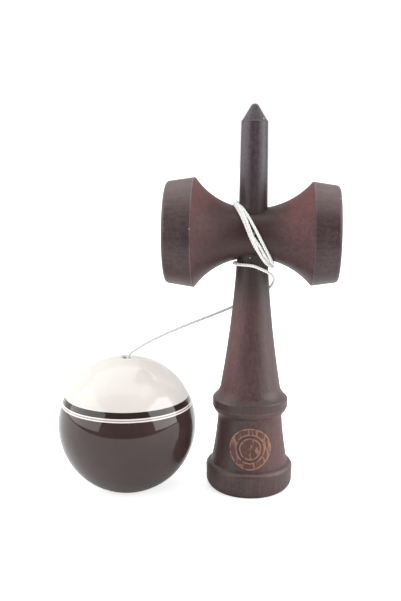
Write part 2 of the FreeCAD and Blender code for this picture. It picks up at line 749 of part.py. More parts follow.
def build():
    ken, sarado, tama, bead = make_ken(), make_sarado(), make_tama(), make_bead()
    x, y = -S["tama_reach_x"], -S["tama_reach_y"]
    bead_knot_height = bead_height() - bead_half_height() - knot_drop(S["bead_hole_radius"])
    bead_knot = make_knot("bead_knot", x, y, bead_knot_height)
    ken_knot_reach = S["knot_pocket_floor"] + knot_drop(S["ken_hole_radius"])
    ken_knot = make_knot("ken_knot", 0, ken_knot_reach, S["sarado_height"])
    knot_top = bead_knot_height + S["knot_radius"] + S["knot_clearance"]
    free_end = tama_top() - S["free_end_depth"]
    inner = make_straight_cord("string_in_tama", free_end - knot_top, x, y, knot_top)
    way_out, route = free_route()
    lashing, tail = make_lashing(way_out)
    free = tube(rounded_path(route, "string_free"), "string_free", rounded=True)
    core_start = ken_knot_reach - S["knot_radius"] - S["knot_clearance"]
    core_end = S["saddle_waist_radius"] + S["cord_radius"] + S["cord_standoff"]
    core_end = core_end - S["cord_bend_radius"] - S["cord_tail"]
    core = make_straight_cord("string_core", core_start + core_end, 0, core_start, S["sarado_height"], 90.0)
    doc.recompute()
    print("string_core ends at", f"{-core_end.value:.2f}", "where the winding starts at", f"{tail.y:.2f}")
    print("string_core length", f"{(core_start + core_end).value:.1f}")
    check_document()
    write_parts((ken, sarado, tama, bead, bead_knot, ken_knot, inner, lashing, free, core))


build()
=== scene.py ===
import math

import bpy
import bmesh
from mathutils import Matrix, Vector


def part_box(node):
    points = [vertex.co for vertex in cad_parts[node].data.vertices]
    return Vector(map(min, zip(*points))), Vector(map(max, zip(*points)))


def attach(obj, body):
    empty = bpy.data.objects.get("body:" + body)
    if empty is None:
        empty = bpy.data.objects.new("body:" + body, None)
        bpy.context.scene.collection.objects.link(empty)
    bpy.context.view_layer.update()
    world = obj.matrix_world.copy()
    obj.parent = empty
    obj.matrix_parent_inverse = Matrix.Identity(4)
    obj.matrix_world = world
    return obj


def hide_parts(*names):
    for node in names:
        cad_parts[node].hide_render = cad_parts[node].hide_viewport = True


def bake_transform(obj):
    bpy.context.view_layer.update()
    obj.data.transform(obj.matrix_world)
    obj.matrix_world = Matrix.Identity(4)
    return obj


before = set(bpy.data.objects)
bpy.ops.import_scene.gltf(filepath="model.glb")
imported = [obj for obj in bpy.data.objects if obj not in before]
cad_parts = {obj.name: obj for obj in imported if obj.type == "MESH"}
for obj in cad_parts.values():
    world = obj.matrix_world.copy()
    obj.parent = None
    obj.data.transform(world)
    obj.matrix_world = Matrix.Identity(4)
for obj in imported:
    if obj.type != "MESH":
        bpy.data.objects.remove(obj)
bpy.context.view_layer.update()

# The handle (ken) is one turned piece of beech: foot, flare, collar, long body, taper and spike. It
# is sanded, stained a dark purplish brown and wiped with a satin oil. The stain is thin on the
# edges, and redder in patches and on the body; its lit sides are painted redder and lighter, as
# painted light.
MM = 0.001
RIGHT, BACK, UP = 0, 1, 2


def paint(red, green, blue):
    """A colour as a swatch shows it, from 0 to 255, turned into the scene's own values."""
    shown = [channel / 255 for channel in (red, green, blue)]
    plain = [c / 12.92 if c <= 0.04045 else ((c + 0.055) / 1.055) ** 2.4 for c in shown]
    return (*plain, 1.0)


class Shade:
    """One socket in a finish's node tree. Arithmetic on shades adds Math nodes to the tree."""

    def __init__(self, tree, socket=None):
        self.tree = tree
        self.socket = socket

    def node(self, kind, sockets, output=0, **settings):
        """Add a node: its settings first, then its sockets' values or links."""
        made = self.tree.nodes.new(f"ShaderNode{kind}")
        for name, value in settings.items():
            setattr(made, name, value)
        for name, value in sockets.items():
            if isinstance(value, Shade):
                self.tree.links.new(value.socket, made.inputs[name])
            else:
                made.inputs[name].default_value = value
        return Shade(self.tree, made.outputs[output])

    def math(self, operation, *numbers):
        return self.node("Math", dict(enumerate(numbers)), operation=operation)

    def __add__(self, other):
        return self.math("ADD", self, other)

    def __radd__(self, other):
        return self.math("ADD", other, self)

    def __sub__(self, other):
        return self.math("SUBTRACT", self, other)

    def __rsub__(self, other):
        return self.math("SUBTRACT", other, self)

    def __mul__(self, other):
        return self.math("MULTIPLY", self, other)

    def __rmul__(self, other):
        return self.math("MULTIPLY", other, self)

    def __abs__(self):
        return self.math("ABSOLUTE", self)

    def highest(self, *others):
        """The highest of this shade and some others, at each place."""
        top = self
        for other in others:
            top = top.math("MAXIMUM", top, other)
        return top

    def axis(self, direction):
        """How far a place lies along one of its three directions."""
        return self.node("SeparateXYZ", {"Vector": self}, output=direction)

    def away_from(self, point):
        """How far a place is from a point."""
        return self.node("VectorMath", {0: self, 1: point}, output=1, operation="DISTANCE")

    def grained(self, across, along, direction=UP):
        """A place for noise that is drawn out along the grain: how fine it is across and along."""
        fineness = [across, across, across]
        fineness[direction] = along
        return self.node("VectorMath", {0: self, 1: fineness}, operation="MULTIPLY")

    def noise(self, scale, detail, roughness):
        sockets = {"Vector": self, "Scale": scale, "Detail": detail, "Roughness": roughness}
        return self.node("TexNoise", sockets)

    def lathe_marks(self, scale, detail):
        """Fine rings round a turned piece, where this shade is the distance along its axis."""
        sockets = {"W": self, "Scale": scale, "Detail": detail}
        return self.node("TexNoise", sockets, noise_dimensions="1D")

    def rise(self, low, high):
        """0 below low and 1 above high, or the other way round where low is the larger."""
        sockets = {"Value": self, "From Min": low, "From Max": high}
        return self.node("MapRange", sockets, interpolation_type="SMOOTHSTEP")

    def blend(self, first, second):
        """The first colour where this shade is 0, and the second where it is 1."""
        return self.node("Mix", {0: self, 6: first, 7: second}, output=2, data_type="RGBA")

    def into(self, node, name):
        self.tree.links.new(self.socket, node.inputs[name])


def new_finish(name):
    """An empty finish: its material, its shader node, and the place on the piece as a shade."""
    finish = bpy.data.materials.new(name)
    finish.use_nodes = True
    shader = finish.node_tree.nodes["Principled BSDF"]
    place = Shade(finish.node_tree).node("TexCoord", {}, output=3)
    return finish, shader, place


def emboss(shader, height, strength, distance):
    """Let the surface stand a little higher where height is more."""
    sockets = {"Height": height, "Strength": strength, "Distance": distance}
    height.node("Bump", sockets).into(shader, "Normal")


def in_metres(millimetres):
    return tuple(value * MM for value in millimetres)


def dressed(node, finish):
    """The piece of a CAD node, with a finish on it."""
    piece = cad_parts[node]
    piece.data.materials.clear()
    piece.data.materials.append(finish)
    return piece


STAIN_DEEP_AND_SHADE = paint(50, 37, 38)
STAIN = paint(76, 57, 56)
STAIN_RED_DEEP = paint(82, 45, 45)
STAIN_RED = paint(110, 61, 60)
STAIN_LILAC_DEEP = paint(44, 36, 46)
STAIN_LILAC = paint(88, 75, 90)
PAINTED_SHADE_DUSK = paint(54, 33, 32)
STAIN_WORN_AND_LIT = paint(150, 128, 121)
BARE_WOOD = paint(238, 222, 198)
BURNT_DARK = paint(84, 50, 41)
BURNT_TAN = paint(158, 110, 84)

# How fine the wood's markings are, as noise scales: across the grain and along it.
FIBRES = (900.0, 26.0)
FIGURE = (170.0, 9.0)
PORES = (2160.0, 62.4)
MOTTLE = 46.0
GRIT = 720.0
LATHE_MARKS = 2300.0


def stained_wood(name, along, warmth_and_light, gloss, worn_edges, chips):
    """Stained wood with its grain along a direction, redder where warmth_and_light says so, which
    is red stain and painted light.

    Worn edges have a place along the grain, a width and a strength. Chips have a place and a size.
    """
    finish, shader, place = new_finish(name)
    fibres = place.grained(*FIBRES, along).noise(1.0, 5.0, 0.62)
    figure = place.grained(*FIGURE, along).noise(1.0, 4.0, 0.5)
    pores = place.grained(*PORES, along).noise(1.0, 2.0, 0.4).rise(0.66, 0.78)
    mottle = place.noise(MOTTLE, 3.0, 0.6)
    grit = place.noise(GRIT, 3.0, 0.7)
    axial = place.axis(along)
    rings = axial.lathe_marks(LATHE_MARKS, 3.0)

    depth = figure * 0.34 + fibres * 0.4 + mottle * 0.12 + grit * 0.5
    tone = depth.rise(0.52, 0.84)
    colour = tone.blend(STAIN_DEEP_AND_SHADE, STAIN)
    warm_and_lit = warmth_and_light(place)
    flushes = place.noise(21.0, 2.0, 0.5).rise(0.52, 0.74)
    red = warm_and_lit * (0.45 + 0.6 * mottle) + flushes * 0.2
    colour = red.blend(colour, tone.blend(STAIN_RED_DEEP, STAIN_RED))
    colour = (pores * 0.35).blend(colour, STAIN_DEEP_AND_SHADE)

    worn, *others = [
        abs(axial - edge * MM).rise(width * MM, width * 0.3 * MM) * strength
        for edge, width, strength in worn_edges
    ]
    patchy = place.noise(140.0, 3.0, 0.6).rise(0.2, 0.62)
    colour = (worn.highest(*others) * (0.35 + 0.65 * patchy)).blend(colour, STAIN_WORN_AND_LIT)
    for spot, size in chips:
        near = place.away_from(in_metres(spot)) + (fibres - 0.5) * (0.6 * MM)
        colour = near.rise(size * MM, size * 0.6 * MM).blend(colour, BARE_WOOD)

    dullness = 0.36 + 0.1 * mottle + 0.1 * pores + 0.2 * (grit - 0.5) + 0.2 * warm_and_lit
    dullness.into(shader, "Roughness")
    height = fibres * 0.5 + rings * 0.35 + grit * 0.5 - pores * 0.5
    emboss(shader, height, strength=0.45, distance=0.06 * MM)
    shader.inputs["Specular IOR Level"].default_value = gloss
    return finish, shader, place, tone, colour


def ken_warmth_and_light(place):
    """Redder on the body and flare, hardly on the spike; the left of the body and the right of the
    flare are painted redder and lighter, as painted light.
    """
    aside, up = place.axis(RIGHT), place.axis(UP)
    body = up.rise(108 * MM, 70 * MM) * up.rise(40 * MM, 46 * MM)
    flare = up.rise(40 * MM, 36 * MM) * up.rise(9 * MM, 14 * MM)
    # Painted light: the lit left of the body and right of the flare are made redder and lighter.
    left, right = aside.rise(5 * MM, -9 * MM), aside.rise(-4 * MM, 12 * MM)
    return body * (0.16 + 0.68 * left) + flare * (0.1 + 0.5 * right) + 0.08


ken_finish, shader, place, tone, colour = stained_wood(
    "ken_stained_wood", UP, ken_warmth_and_light, gloss=0.62,
    worn_edges=((36.95, 0.4, 0.12), (35.2, 0.35, 0.1), (10.9, 0.7, 0.2), (40.7, 0.35, 0.12)),
    chips=(((3.75, -2.85, 159.0), 0.5), ((-0.95, -6.5, 102.2), 0.32), ((6.0, 17.2, 10.9), 0.35)),
)

# The spike is more lilac. Shade is painted on the wood by the double cup, on the collar and in a
# line at the spike's shoulder, and painted light makes the left of the flare paler.
COLLAR_TOP = 39.2 * MM
SPIKE_SHOULDER = 158.25 * MM
aside, up = place.axis(RIGHT), place.axis(UP)
lilac = tone.blend(STAIN_LILAC_DEEP, STAIN_LILAC)
colour = (up.rise(116 * MM, 134 * MM) * 0.6).blend(colour, lilac)
# Painted shade on the handle above and below the double cup.
painted_shade_by_cup = up.rise(78 * MM, 92 * MM) * up.rise(144 * MM, 126 * MM)
colour = (painted_shade_by_cup * 0.58).blend(colour, STAIN_DEEP_AND_SHADE)
# Painted shade darkens the collar round its top edge.
collar = abs(up - COLLAR_TOP).rise(2.6 * MM, 1.2 * MM)
colour = (collar * 0.4).blend(colour, PAINTED_SHADE_DUSK)
# Painted light: the left of the flare is made paler.
painted_light_flare_left = aside.rise(-6 * MM, -14 * MM) * up.rise(44 * MM, 36 * MM)
colour = (painted_light_flare_left * 0.15).blend(colour, STAIN_WORN_AND_LIT)
# Painted shade: a dark line round the spike's shoulder.
painted_shade_shoulder = abs(up - SPIKE_SHOULDER).rise(0.6 * MM, 0.3 * MM)
colour = (painted_shade_shoulder * 0.7).blend(colour, STAIN_DEEP_AND_SHADE)

# A plain motif is burnt into the front of the flare: a ring round a disc, dark, with tan edges.
MOTIF_ASIDE, MOTIF_UP = 0.6 * MM, 21.6 * MM
RING_MIDDLE, RING_HALF = 7.3, 1.25
DISC_MIDDLE, DISC_HALF = 2.2, 2.2


def burnt_ring(reach, middle, half):
    """A ring burnt dark round the motif's middle, and the tan lines along its two edges."""
    off = abs(reach - middle * MM)
    dark = off.rise((half + 0.1) * MM, (half - 0.1) * MM)
    tan = abs(off - half * MM).rise(0.36 * MM, 0.12 * MM)
    return dark, tan


across, above = aside - MOTIF_ASIDE, up - MOTIF_UP
front = place.axis(BACK).rise(-9 * MM, -10 * MM)
span = across * across + above * above
reach = span.math("SQRT", span) + (place.noise(620.0, 3.0, 0.7) - 0.5) * (0.5 * MM)
ring, ring_edges = burnt_ring(reach, RING_MIDDLE, RING_HALF)
disc, disc_edges = burnt_ring(reach, DISC_MIDDLE, DISC_HALF)
burnt = ring.highest(disc)
colour = (front * burnt * 0.85).blend(colour, BURNT_DARK)
edges = ring_edges.highest(disc_edges) * place.noise(500.0, 2.0, 0.6).rise(0.3, 0.5)
streaks = place.grained(900.0, 260.0).noise(1.0, 2.0, 0.6).rise(0.5, 0.62)
colour = (front * edges.highest(burnt * streaks * 0.75)).blend(colour, BURNT_TAN)
colour.into(shader, "Base Color")
ken = dressed("ken", ken_finish)

# The double cup (sarado) is turned from a second piece of the same wood, with the grain along it,
# and is pushed down over the handle's taper. Its cups, ridges and hollow saddles have the same
# stain. Shade is painted on at the crossing, under the cord, and beside the two ridges, and
# painted light makes the upper rims paler.
RIDGES_ASIDE = 26.7 * MM


def sarado_warmth_and_light(place):
    """Redder on the two hollow saddles, and not at the crossing or the rims; more on top, which is
    painted light.
    """
    reach = abs(place.axis(RIGHT))
    saddles = reach.rise(24.9 * MM, 24.3 * MM) * reach.rise(5 * MM, 17 * MM)
    # Painted light: the saddles' tops are made redder and lighter than their lower parts.
    return saddles * (0.2 + 0.72 * place.axis(UP).rise(98 * MM, 124 * MM)) + 0.08


sarado_finish, shader, place, tone, colour = stained_wood(
    "sarado_stained_wood", RIGHT, sarado_warmth_and_light, gloss=0.44,
    worn_edges=((-24.8, 0.3, 0.34), (25.05, 0.3, 0.22), (-36.3, 0.3, 0.2), (35.5, 0.3, 0.2)),
    chips=(((-24.95, -22.4, 115.6), 0.52), ((35.3, -12.6, 127.7), 0.5),
           ((33.5, -20.4, 114.8), 0.2)),
)
aside = place.axis(RIGHT)
# Painted shade in bands beside the two ridges.
painted_shade_beside_ridges = abs(abs(aside) - RIDGES_ASIDE).rise(1.9 * MM, 0.6 * MM)
colour = (painted_shade_beside_ridges * 0.4).blend(colour, STAIN_DEEP_AND_SHADE)
# Painted shade at the crossing, under the cord and the handle.
crossing = aside.rise(17 * MM, 7 * MM) * aside.rise(-26 * MM, -13 * MM)
colour = (crossing * 0.66).blend(colour, PAINTED_SHADE_DUSK)
rims = abs(aside).rise(24.7 * MM, 25.1 * MM)
colour = (rims * 0.13).blend(colour, tone.blend(STAIN_LILAC_DEEP, STAIN_LILAC))
# Painted light: the rims are paler on their upper parts.
painted_light_upper = place.axis(UP).rise(112 * MM, 132 * MM)
colour = (rims * painted_light_upper * 0.13).blend(colour, STAIN_WORN_AND_LIT)
colour.into(shader, "Base Color")
sarado = dressed("sarado", sarado_finish)

# The ball (tama) is turned wood under many coats of gloss lacquer: a pearly cream cap, a thin dark
# band, a white line with a pinkish seam, and dark brown below. Its bore for the spike is bare wood.
TAMA_CENTRE = Vector((-53.46, -3.94, 27.91)) * MM
TAMA_RADIUS = 30.0 * MM
CREAM = paint(222, 217, 210)
PEARL = paint(217, 208, 204)
CAP_SPECKS = paint(150, 140, 132)
TAMA_BROWN = paint(59, 43, 42)
TAMA_BROWN_PALE = paint(66, 49, 47)
BAND_DARK = paint(42, 30, 29)
LINE_WHITE = paint(244, 240, 238)
LINE_SEAM = paint(172, 154, 153)
BORE_WOOD_DARK = paint(196, 160, 118)
BORE_WOOD = paint(224, 194, 152)
CORD_HOLE_PAINTED_SHADE = paint(132, 131, 133)

# Heights over the ball's middle of the white line, the dark band and the cap, and the depths at
# which the lacquer ends and bare wood begins.
LINE_LOW, LINE_SEAM_AT, LINE_HIGH = 9.58 * MM, 10.35 * MM, 11.12 * MM
BAND_LOW, CAP_LOW = 11.0 * MM, 13.4 * MM
PAINT_EDGE = 0.1 * MM
LACQUER_DEPTH, BARE_DEPTH = 0.5 * MM, 0.9 * MM
PEARL_CLOUDS = (
    ((-42.1, -9.7, 55.0), 7.5), ((-60.0, 18.0, 50.0), 8.0), ((-75.0, 6.0, 47.0), 6.0),
)


def painted_band(level, low, high):
    """1 between two heights on the ball, with soft edges."""
    return level.rise(low, low + PAINT_EDGE) * level.rise(high, high - PAINT_EDGE)


tama_finish, shader, place = new_finish("tama_gloss_lacquer")
level = place.axis(UP) - TAMA_CENTRE.z + (place.noise(60.0, 2.0, 0.5) - 0.5) * (0.12 * MM)
drift = (place.noise(150.0, 3.0, 0.55) - 0.5) * (9 * MM)
clouds = place.noise(55.0, 3.0, 0.5).rise(0.5, 0.62) * 0.3
for spot, size in PEARL_CLOUDS:
    near = place.away_from(in_metres(spot)) + drift
    clouds = clouds.highest(near.rise(size * MM, (size - 1.6) * MM))
turning = level.lathe_marks(1300.0, 2.0)
cap = (clouds * 0.6 + (turning - 0.5) * 0.4).blend(CREAM, PEARL)
specks = place.noise(1500.0, 1.0, 0.3).rise(0.79, 0.83)
cap = (specks * 0.35).blend(cap, CAP_SPECKS)
brown = place.noise(110.0, 3.0, 0.6).rise(0.3, 0.8).blend(TAMA_BROWN, TAMA_BROWN_PALE)
colour = level.rise(CAP_LOW, CAP_LOW + PAINT_EDGE).blend(brown, cap)
colour = painted_band(level, BAND_LOW, CAP_LOW).blend(colour, BAND_DARK)
seam = abs(level - LINE_SEAM_AT).rise(0.42 * MM, 0.14 * MM)
line = seam.blend(LINE_WHITE, LINE_SEAM)
colour = painted_band(level, LINE_LOW, LINE_HIGH).blend(colour, line)

fibres = place.grained(800.0, 30.0).noise(1.0, 4.0, 0.6)
bore = fibres.rise(0.3, 0.75).blend(BORE_WOOD_DARK, BORE_WOOD)
# Painted shade: grey in the top of the bore, at the cord hole.
bore = level.rise(25 * MM, 26 * MM).blend(bore, CORD_HOLE_PAINTED_SHADE)
from_middle = place.away_from(tuple(TAMA_CENTRE))
skin = from_middle.rise(TAMA_RADIUS - BARE_DEPTH, TAMA_RADIUS - LACQUER_DEPTH)
skin.blend(bore, colour).into(shader, "Base Color")
(0.62 - 0.3 * skin).into(shader, "Roughness")
skin.into(shader, "Coat Weight")
shader.inputs["Coat Roughness"].default_value = 0.025
shader.inputs["Specular IOR Level"].default_value = 0.05
ripple = place.noise(95.0, 2.0, 0.5) + (1.0 - skin) * fibres
emboss(shader, ripple, strength=0.2, distance=0.05 * MM)
tama = dressed("tama", tama_finish)

# The stopper bead is a small ball of plain turned wood, threaded on the cord inside the ball,
# where it can't pass the cord hole. It is bare of stain and lacquer.
BEAD_WOOD_DARK = paint(170, 128, 84)
BEAD_WOOD = paint(212, 174, 126)
bead_finish, shader, place = new_finish("bead_plain_wood")
fibres = place.grained(900.0, 60.0).noise(1.0, 4.0, 0.6)
fibres.rise(0.25, 0.8).blend(BEAD_WOOD_DARK, BEAD_WOOD).into(shader, "Base Color")
(0.5 + 0.15 * fibres).into(shader, "Roughness")
emboss(shader, fibres, strength=0.4, distance=0.04 * MM)
bead = dressed("stopper_bead", bead_finish)

# The cord is one length of white three-ply cord, 1.35 mm thick. From a knot in the handle it leaves
# by the hole in the double cup, is wound three times over the crossing and once round the handle,
# and runs over to the ball. Its lowest turn is loose, and lifts off the handle at the right.
CORD_RADIUS = 0.675 * MM
STANDOFF = 0.16 * MM
SARADO_HEIGHT = 111.8 * MM
WAIST_RADIUS = 10.4 * MM
BIG_SADDLE = 29.7 * MM
SMALL_SADDLE = 32.4 * MM
STEP_ANGLE = 22.5
HALF_STEP = math.radians(STEP_ANGLE / 2)

# Rows of the winding, from the hole: degrees turned round the double cup, reach along it, and rise
# over the wood, in millimetres. 90 degrees is the lower right corner of a turn, 270 its upper left.
WINDING = (
    (0, 0.3, 0.2), (22.5, 3.1, -0.1), (45, 5.1, -0.1), (67.5, 6.9, -0.1), (90, 7.6, -0.1),
    (135, 5.6, 0.0), (180, 1.2, 0.0), (225, -4.4, 0.0), (270, -7.35, -0.1), (292.5, -4.9, 0.65),
    (315, -2.3, 0.45), (337.5, 0.2, 0.3), (360, 2.7, 0.0), (382.5, 5.05, 0.0), (405, 7.2, 0.1),
    (427.5, 8.4, 0.4), (450, 8.95, 0.2), (495, 7.1, 1.1), (540, 0.1, 1.35), (585, -5.2, 1.1),
    (630, -7.65, 0.95), (652.5, -6.25, 1.15), (675, -3.9, 1.0), (697.5, -1.9, 1.0),
    (720, 0.0, 1.2), (742.5, 1.7, 1.35), (765, 4.1, 1.5), (787.5, 6.6, 1.75), (810, 9.3, 1.6),
    (855, 5.1, 1.8), (900, -1.3, 0.3), (945, -6.0, 0.0), (990, -8.4, -0.1), (1012.5, -6.8, -0.1),
    (1035, -4.8, 0.0), (1057.5, -2.85, 0.0), (1080, -0.95, 0.1), (1102.5, 1.0, 0.0),
    (1125, 3.6, 0.1), (1147.5, 5.75, 0.9), (1170, 8.0, 1.3),
)

# The turn round the handle: degrees from the right, drop below the double cup's axis, and gap to
# the wood, in millimetres.
NECK_TURN = (
    (45.0, 14.4, 0.6), (90.0, 13.7, 0.4), (180.0, 12.7, 0.3), (270.0, 12.45, 0.45),
    (324.0, 15.8, 0.52), (358.0, 18.9, 1.98), (381.0, 22.9, 0.75), (457.6, 29.8, 0.38),
)
NECK_POINTS = 19


def between(rows, angle):
    """The values of a row at any angle, between the rows chosen."""
    for before, after in zip(rows, rows[1:]):
        if angle <= after[0] + 0.01:
            break
    part = (angle - before[0]) / (after[0] - before[0])
    return [a + (b - a) * part for a, b in zip(before[1:], after[1:])]


def winding_points():
    """The winding's course, 16 points to a turn, on the saddles' round."""
    points = []
    for step in range(int(WINDING[-1][0] / STEP_ANGLE) + 1):
        reach, rise = (v * MM for v in between(WINDING, step * STEP_ANGLE))
        curve = BIG_SADDLE if reach < 0 else SMALL_SADDLE
        wood = WAIST_RADIUS + curve - math.sqrt(curve * curve - reach * reach)
        out = (wood + CORD_RADIUS + STANDOFF + rise) / math.cos(HALF_STEP)
        turned = math.radians(step * STEP_ANGLE)
        height = SARADO_HEIGHT - out * math.sin(turned)
        points.append(Vector((reach, -out * math.cos(turned), height)))
    return points


# The handle's long body, as radius and height at its foot and its head, and its hollow curve.
BODY_FOOT, BODY_HEAD = Vector((12.75, 46.6)), Vector((6.6, 100.5))
BODY_CURVE = 480.0


def body_radius(height):
    """Radius of the handle under the double cup, on its long hollow curve."""
    chord = BODY_HEAD - BODY_FOOT
    reach = math.sqrt(BODY_CURVE ** 2 - chord.length_squared / 4)
    middle = (BODY_FOOT + BODY_HEAD) / 2
    centre = middle + Vector((chord.y, -chord.x)).normalized() * reach
    return (centre.x - math.sqrt(BODY_CURVE ** 2 - (height / MM - centre.y) ** 2)) * MM


def neck_points():
    """The turn round the handle, between the rows chosen for it."""
    points = []
    first, last = NECK_TURN[0][0], NECK_TURN[-1][0]
    for step in range(NECK_POINTS):
        angle = first + (last - first) * step / (NECK_POINTS - 1)
        drop, gap = (v * MM for v in between(NECK_TURN, angle))
        height = SARADO_HEIGHT - drop
        out = (body_radius(height) + CORD_RADIUS + gap) / math.cos(HALF_STEP)
        turned = math.radians(angle)
        points.append(Vector((out * math.cos(turned), out * math.sin(turned), height)))
    return points


# The free stretch, from the handle to the ball: the share of the way, and the share of the fall.
# It goes down into the ball's hole as far as the stretch inside the ball begins.
FREE_ROUTE = ((0.1, 0.11), (0.279, 0.272), (0.576, 0.515), (0.780, 0.711), (0.892, 0.851))
LEAVES_HANDLE = Vector((-1.2, 9.06, 82.0)) * MM
BALL_TOP = Vector((-53.46, -3.94, 57.91)) * MM
FREE_END_DEPTH = 3.91 * MM


def free_points():
    """The free stretch: over to the ball's axis, then down into its hole."""
    over = BALL_TOP + Vector((0, 0, CORD_RADIUS))
    points = []
    for along, down in FREE_ROUTE:
        point = LEAVES_HANDLE.lerp(over, along)
        point.z = LEAVES_HANDLE.z + (over.z - LEAVES_HANDLE.z) * down
        points.append(point)
    return points + [over, BALL_TOP - Vector((0, 0, FREE_END_DEPTH))]


def follow(controls, spacing):
    """Draw a smooth NURBS line over the controls and read places along it, a spacing apart."""
    line = bpy.data.curves.new("line", "CURVE")
    line.dimensions = "3D"
    spline = line.splines.new("NURBS")
    spline.points.add(len(controls) - 1)
    for point, control in zip(spline.points, controls):
        point.co = (*control, 1.0)
    spline.order_u = 3
    spline.use_endpoint_u = True
    spline.resolution_u = 24
    holder = bpy.data.objects.new("line", line)
    drawn = bpy.data.meshes.new_from_object(holder)
    places = [vertex.co.copy() for vertex in drawn.vertices]
    bpy.data.objects.remove(holder)
    bpy.data.curves.remove(line)
    bpy.data.meshes.remove(drawn)
    kept = [places[0]]
    for place in places[1:-1]:
        if (place - kept[-1]).length >= spacing:
            kept.append(place)
    return kept + [places[-1]]


# Three plies make one full twist in each lay. Sizes of a ply are shares of the cord's radius.
PLIES = 3
PLY_LAY = 3.75 * MM
PLY_RADIUS, PLY_OFFSET = 0.56, 0.44
RING_POINTS = 18


def ply_reach(angle):
    """Outer radius of three round plies pressed together, as a share of the cord's radius."""
    off = (angle + math.pi / PLIES) % (2 * math.pi / PLIES) - math.pi / PLIES
    bulge = math.sqrt(PLY_RADIUS ** 2 - (PLY_OFFSET * math.sin(off)) ** 2)
    return PLY_OFFSET * math.cos(off) + bulge


def ply_rings(path, radius):
    """Rings of places round a path that turn with the plies, and how far along the cord each is."""
    rings, lengths = [], []
    heading = (path[1] - path[0]).normalized()
    side = heading.orthogonal().normalized()
    run = 0.0
    for number, place in enumerate(path):
        before, after = path[max(number - 1, 0)], path[min(number + 1, len(path) - 1)]
        run += (place - before).length
        onward = (after - before).normalized()
        side = heading.rotation_difference(onward) @ side
        side = (side - onward * side.dot(onward)).normalized()
        heading = onward
        up = heading.cross(side)
        twist = run / PLY_LAY * 2 * math.pi
        ring = []
        for point in range(RING_POINTS):
            round_it = 2 * math.pi * point / RING_POINTS
            reach = radius * ply_reach(round_it - twist)
            out = side * math.cos(round_it) + up * math.sin(round_it)
            ring.append(place + out * reach)
        rings.append(ring)
        lengths.append(run)
    return rings, lengths


def twisted_cord(name, path, radius=CORD_RADIUS):
    """A closed mesh of three plies twisted round a path, with its length and round kept as UVs."""
    mesh = bpy.data.meshes.new(name)
    shape = bmesh.new()
    uv_layer = shape.loops.layers.uv.new("lay")
    ring_places, lengths = ply_rings(path, radius)
    rings = [[shape.verts.new(place) for place in ring] for ring in ring_places]
    for number, (ring, later) in enumerate(zip(rings, rings[1:])):
        for point in range(RING_POINTS):
            after = (point + 1) % RING_POINTS
            face = shape.faces.new((ring[point], ring[after], later[after], later[point]))
            face.smooth = True
            corners = ((point, 0), (point + 1, 0), (point + 1, 1), (point, 1))
            for loop, (round_it, on) in zip(face.loops, corners):
                loop[uv_layer].uv = (lengths[number + on] / PLY_LAY, round_it / RING_POINTS)
    shape.faces.new(rings[0][::-1])
    shape.faces.new(rings[-1])
    bmesh.ops.recalc_face_normals(shape, faces=shape.faces)
    shape.to_mesh(mesh)
    shape.free()
    piece = bpy.data.objects.new(name, mesh)
    bpy.context.scene.collection.objects.link(piece)
    return piece


# The plies' yarns lean across them. Shade is painted grey into the grooves between plies and
# along the free stretch, and the rest of the cord glows a little as painted light, so the winding
# stands out pale against the dark wood.
CORD_WHITE_DEEP = paint(242, 241, 237)
CORD_WHITE = paint(254, 254, 252)
GROOVE_PAINTED_SHADE = paint(160, 160, 160)
FREE_STRETCH_PAINTED_SHADE = paint(222, 222, 221)
PAINTED_GLOW = (1.0, 1.0, 0.98, 1.0)
NO_GLOW = (0.0, 0.0, 0.0, 1.0)
YARNS_ROUND, YARNS_ALONG = 15.0, 9.0


def lays(length):
    """A length along the cord in millimetres, counted in lays, as the UVs are."""
    return length * MM / PLY_LAY


cord_finish, shader, place = new_finish("cord_white_twist")
lay = place.node("TexCoord", {}, output=2)
run, round_it = lay.axis(0), lay.axis(1)
slant = (round_it * YARNS_ROUND + run * YARNS_ALONG) * (2 * math.pi)
yarns = slant.math("SINE", slant)
fuzz = place.noise(2600.0, 4.0, 0.6)
round_plies = (round_it - run) * (2 * math.pi * PLIES)
groove = round_plies.math("COSINE", round_plies).rise(-0.45, -0.95)
tone = yarns * 0.18 + fuzz * 0.7
colour = tone.rise(0.1, 0.65).blend(CORD_WHITE_DEEP, CORD_WHITE)
# Painted shade in the grooves between plies.
colour = (groove * 0.46).blend(colour, GROOVE_PAINTED_SHADE)
# Painted shade along the free stretch, most where it leaves the handle.
comes_out = run.rise(lays(318), lays(326))
past_handle = run.rise(lays(330), lays(368))
before_ball = run.rise(lays(404), lays(376))
free = comes_out * (0.1 + 0.7 * past_handle) * (0.82 + 0.18 * before_ball)
colour = free.blend(colour, FREE_STRETCH_PAINTED_SHADE)
colour.into(shader, "Base Color")
# Painted light: the cord glows a little, except in its grooves and along the free stretch.
groove.highest(free).blend(PAINTED_GLOW, NO_GLOW).into(shader, "Emission Color")
shader.inputs["Emission Strength"].default_value = 0.17
(0.7 + 0.2 * fuzz).into(shader, "Roughness")
emboss(shader, yarns * 0.3 + fuzz, strength=0.45, distance=0.08 * MM)
shader.inputs["Sheen Weight"].default_value = 0.3
shader.inputs["Specular IOR Level"].default_value = 0.25

